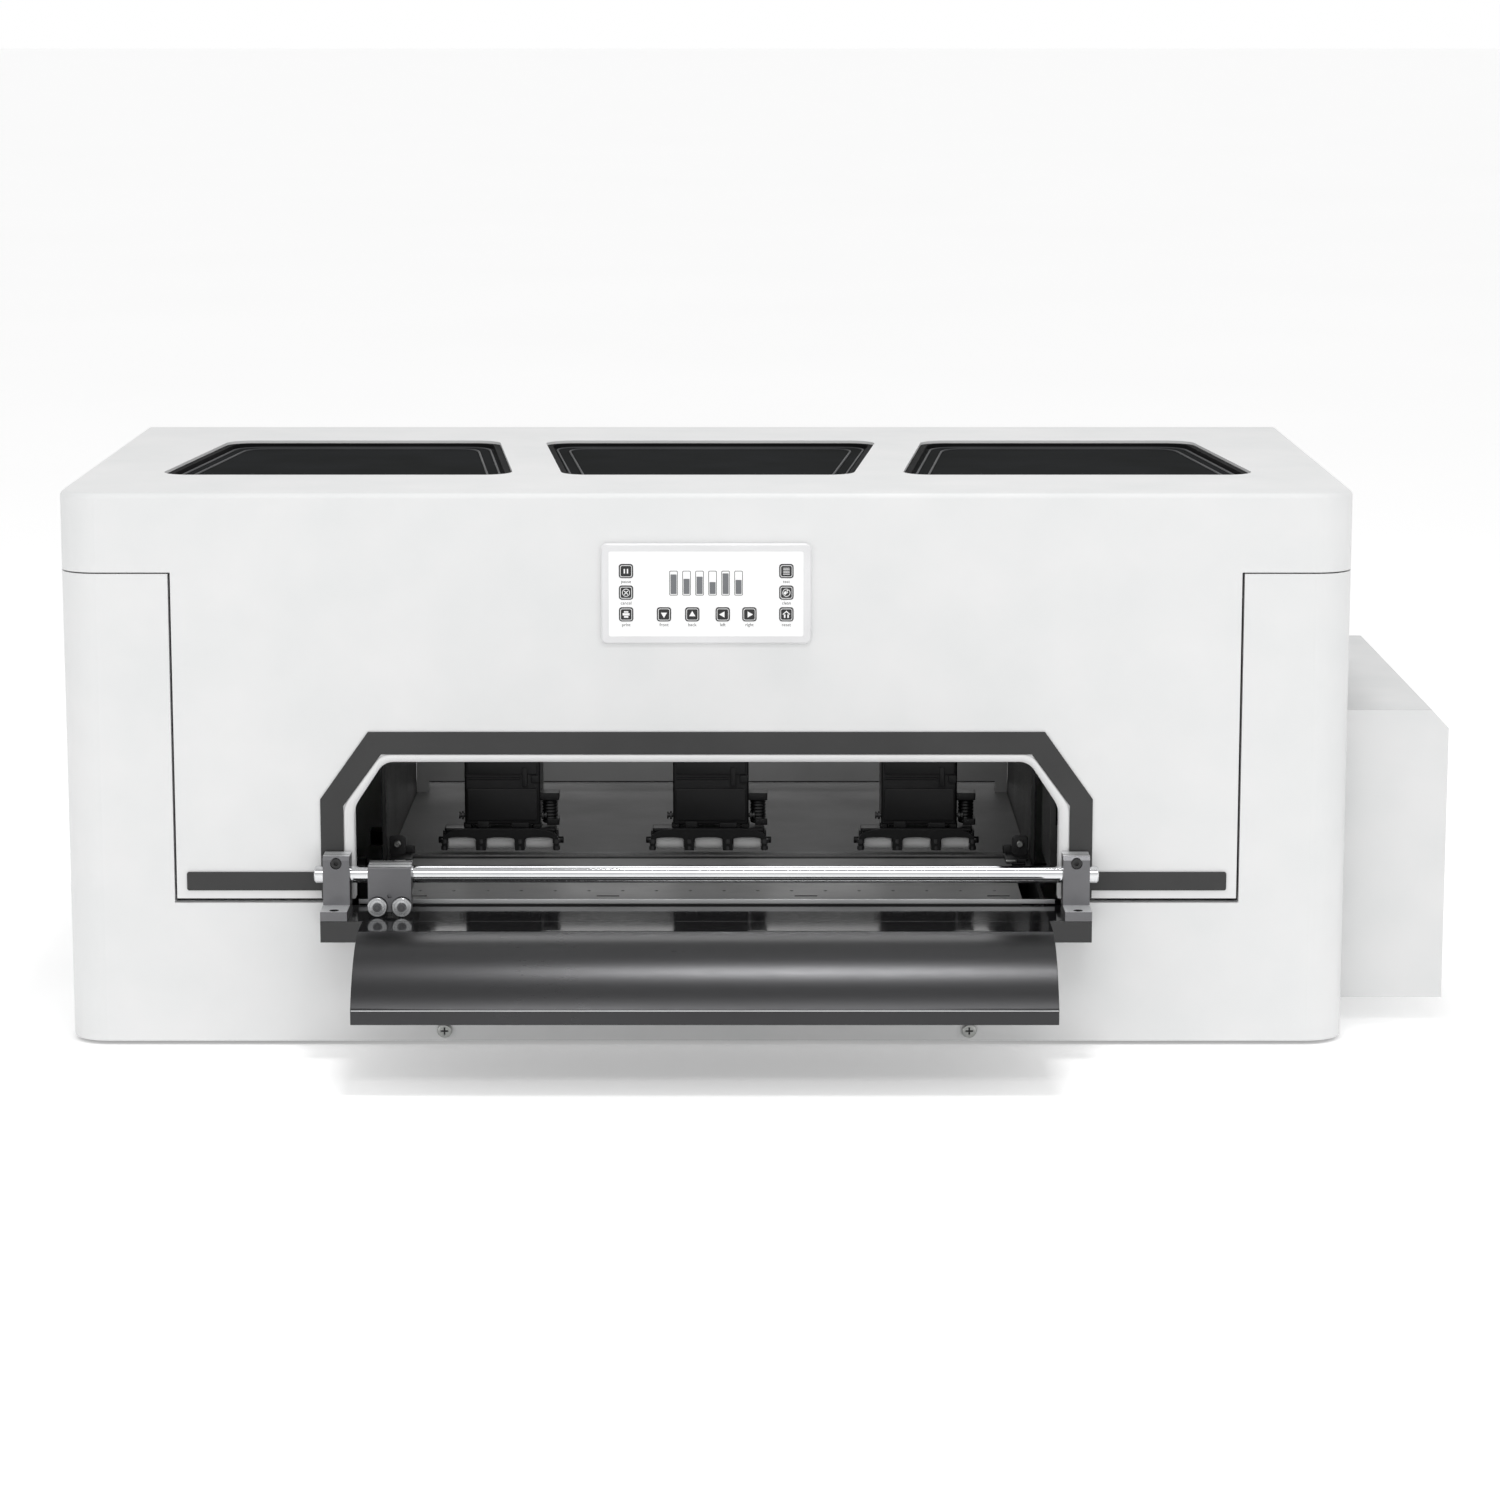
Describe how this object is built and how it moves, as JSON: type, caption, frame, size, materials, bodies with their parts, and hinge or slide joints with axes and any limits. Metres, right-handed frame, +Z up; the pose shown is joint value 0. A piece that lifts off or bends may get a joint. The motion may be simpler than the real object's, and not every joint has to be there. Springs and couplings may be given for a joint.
{
  "type": "roll-fed uv film printer",
  "caption": "Desktop UV printer that feeds film from the back over a vacuum platen to a curved heated apron, with a hinged windowed cover, front keypad, rail cutter and side ink box.",
  "frame": {"origin": "on the floor under the middle of the main case, not counting the side ink box or the front apron", "axes": "+Z up, +Y from the front to the back, +X towards the side ink box; the front faces -Y"},
  "size_m": [0.9775, 0.6328, 0.3915],
  "materials": {
    "case_white": "fine satin powder coat",
    "trim_dark": "dark satin plastic",
    "gasket_dark": "black rubber profile",
    "smoked_pane": "dark tinted acrylic",
    "panel_rim": "light grey moulded plastic",
    "panel_white": "glossy white film",
    "key_black": "black membrane key",
    "steel_black": "black satin paint",
    "steel_grey": "grey satin paint",
    "platen_grey": "grey anodised",
    "shelf_black": "gloss black anodised",
    "apron_dark": "dark glossy coating",
    "alu_satin": "satin machined",
    "alu_block": "satin anodised",
    "chrome_rod": "ground and polished",
    "bearing_steel": "ground steel",
    "zinc_screw": "zinc plated",
    "blade_steel": "ground edge",
    "rubber_black": "moulded rubber",
    "rubber_grey": "grey rubber sleeve",
    "plastic_black": "black moulded plastic",
    "belt_rubber": "reinforced rubber",
    "bottle_plastic": "milky polyethylene",
    "board_green": "solder mask"
  },
  "bodies": {
    "chassis": {"lower_case": "case_white", "base_plate": "steel_grey", "rubber_feet": "rubber_black", "case_screws": "zinc_screw", "beam_end_plates": "steel_grey", "inner_side_plates": "steel_black", "vacuum_platen": "platen_grey", "vacuum_box": "steel_black", "rear_film_guide": "steel_grey", "output_shelf": "shelf_black", "heated_apron": "apron_dark", "shaft_support_left": "alu_satin", "shaft_support_right": "alu_satin", "support_screws": "steel_black", "cutter_rail": "chrome_rod", "carriage_beam": "alu_satin", "carriage_rail": "bearing_steel", "carriage_belt": "belt_rubber", "belt_motor": "steel_black", "capping_base": "plastic_black", "feed_motor": "steel_black", "side_box_shell": "case_white", "ink_bottles": "bottle_plastic", "ink_caps": "plastic_black", "power_supply": "alu_satin", "mainboard": "board_green", "rear_ports": "plastic_black"},
    "cover": {"top_cover": "case_white", "window_gaskets": "gasket_dark", "window_panes": "smoked_pane", "arch_trim": "trim_dark", "panel_bezel": "panel_rim", "panel_face": "panel_white", "cover_arms": "case_white"},
    "cutter": {"cutter_block": "alu_block", "cutter_blade": "blade_steel"},
    "cutter_roller_l": {"cutter_roller_left": "bearing_steel"},
    "cutter_roller_r": {"cutter_roller_right": "bearing_steel"},
    "carriage": {"carriage_frame": "alu_satin", "print_heads": "plastic_black", "uv_lamp": "steel_black"},
    "belt_drive_pulley": {"motor_pulley": "alu_satin"},
    "belt_idler_pulley": {"idler_pulley": "alu_satin"},
    "capping_lift": {"capping_pads": "rubber_black"},
    "feed": {"feed_roller": "bearing_steel"},
    "pinch_bank": {"pinch_arms": "plastic_black"},
    "pinch_roll": {"pinch_rollers": "rubber_grey"},
    "lever": {"pinch_lever": "bearing_steel"},
    "box_lid": {"side_box_lid": "case_white"},
    "switch_rocker": {"rocker_switch": "plastic_black"},
    "key_pause": {"key_pause": "key_black"},
    "key_cancel": {"key_cancel": "key_black"},
    "key_print": {"key_print": "key_black"},
    "key_out": {"key_out": "key_black"},
    "key_in": {"key_in": "key_black"},
    "key_left": {"key_left": "key_black"},
    "key_right": {"key_right": "key_black"},
    "key_test": {"key_test": "key_black"},
    "key_clean": {"key_clean": "key_black"},
    "key_home": {"key_home": "key_black"}
  },
  "joints": [
    {"name": "cover_hinge", "type": "hinge", "parent": "chassis", "child": "cover", "pos_m": [0, 0.243, 0.143], "axis": [-1, 0, 0], "range_deg": [0, 60]},
    {"name": "cutter_slide", "type": "slide", "parent": "chassis", "child": "cutter", "axis": [1, 0, 0], "range_m": [-0.01, 0.445]},
    {"name": "cutter_roller_l_spin", "type": "hinge", "parent": "cutter", "child": "cutter_roller_l", "pos_m": [-0.2285, -0.262, 0.1061], "axis": [0, 1, 0], "continuous": true},
    {"name": "cutter_roller_r_spin", "type": "hinge", "parent": "cutter", "child": "cutter_roller_r", "pos_m": [-0.2115, -0.262, 0.1061], "axis": [0, 1, 0], "continuous": true},
    {"name": "carriage_slide", "type": "slide", "parent": "chassis", "child": "carriage", "axis": [1, 0, 0], "range_m": [-0.62, 0.005]},
    {"name": "drive_pulley_spin", "type": "hinge", "parent": "chassis", "child": "belt_drive_pulley", "pos_m": [-0.405, -0.072, 0.263], "axis": [0, 0, 1], "continuous": true},
    {"name": "idler_pulley_spin", "type": "hinge", "parent": "chassis", "child": "belt_idler_pulley", "pos_m": [0.405, -0.072, 0.263], "axis": [0, 0, 1], "continuous": true},
    {"name": "capping_lift", "type": "slide", "parent": "chassis", "child": "capping_lift", "axis": [0, 0, -1], "range_m": [0, 0.008]},
    {"name": "feed_spin", "type": "hinge", "parent": "chassis", "child": "feed", "pos_m": [0, -0.0665, 0.0924], "axis": [1, 0, 0], "continuous": true},
    {"name": "pinch_press", "type": "hinge", "parent": "chassis", "child": "pinch_bank", "pos_m": [0, -0.0479, 0.1745], "axis": [1, 0, 0], "range_deg": [0, 17.2]},
    {"name": "pinch_spin", "type": "hinge", "parent": "pinch_bank", "child": "pinch_roll", "pos_m": [0, -0.0844, 0.1185], "axis": [1, 0, 0], "continuous": true},
    {"name": "lever_turn", "type": "hinge", "parent": "chassis", "child": "lever", "pos_m": [0, -0.0479, 0.1745], "axis": [1, 0, 0], "range_deg": [0, 44]},
    {"name": "side_lid_hinge", "type": "hinge", "parent": "chassis", "child": "box_lid", "pos_m": [0.4526, 0, 0.2283], "axis": [0, -1, 0], "range_deg": [0, 90]},
    {"name": "switch_rock", "type": "hinge", "parent": "chassis", "child": "switch_rocker", "pos_m": [-0.39, 0.2285, 0.06], "axis": [-1, 0, 0], "range_deg": [0, 20]},
    {"name": "key_pause_press", "type": "slide", "parent": "cover", "child": "key_pause", "axis": [0, 1, 0], "range_m": [0, 0.0004], "stiffness_N_per_m": 2500, "springref_m": -0.0002},
    {"name": "key_cancel_press", "type": "slide", "parent": "cover", "child": "key_cancel", "axis": [0, 1, 0], "range_m": [0, 0.0004], "stiffness_N_per_m": 2500, "springref_m": -0.0002},
    {"name": "key_print_press", "type": "slide", "parent": "cover", "child": "key_print", "axis": [0, 1, 0], "range_m": [0, 0.0004], "stiffness_N_per_m": 2500, "springref_m": -0.0002},
    {"name": "key_out_press", "type": "slide", "parent": "cover", "child": "key_out", "axis": [0, 1, 0], "range_m": [0, 0.0004], "stiffness_N_per_m": 2500, "springref_m": -0.0002},
    {"name": "key_in_press", "type": "slide", "parent": "cover", "child": "key_in", "axis": [0, 1, 0], "range_m": [0, 0.0004], "stiffness_N_per_m": 2500, "springref_m": -0.0002},
    {"name": "key_left_press", "type": "slide", "parent": "cover", "child": "key_left", "axis": [0, 1, 0], "range_m": [0, 0.0004], "stiffness_N_per_m": 2500, "springref_m": -0.0002},
    {"name": "key_right_press", "type": "slide", "parent": "cover", "child": "key_right", "axis": [0, 1, 0], "range_m": [0, 0.0004], "stiffness_N_per_m": 2500, "springref_m": -0.0002},
    {"name": "key_test_press", "type": "slide", "parent": "cover", "child": "key_test", "axis": [0, 1, 0], "range_m": [0, 0.0004], "stiffness_N_per_m": 2500, "springref_m": -0.0002},
    {"name": "key_clean_press", "type": "slide", "parent": "cover", "child": "key_clean", "axis": [0, 1, 0], "range_m": [0, 0.0004], "stiffness_N_per_m": 2500, "springref_m": -0.0002},
    {"name": "key_home_press", "type": "slide", "parent": "cover", "child": "key_home", "axis": [0, 1, 0], "range_m": [0, 0.0004], "stiffness_N_per_m": 2500, "springref_m": -0.0002}
  ],
  "couplings": [
    {"joint": "cutter_roller_l_spin", "follows": "cutter_slide", "rad_per_m": 148.15},
    {"joint": "cutter_roller_r_spin", "follows": "cutter_slide", "rad_per_m": 148.15},
    {"joint": "drive_pulley_spin", "follows": "carriage_slide", "rad_per_m": 111.11},
    {"joint": "idler_pulley_spin", "follows": "carriage_slide", "rad_per_m": 111.11},
    {"joint": "pinch_spin", "follows": "feed_spin", "ratio": -1.6923},
    {"joint": "lever_turn", "follows": "pinch_press", "ratio": 2.5}
  ]
}
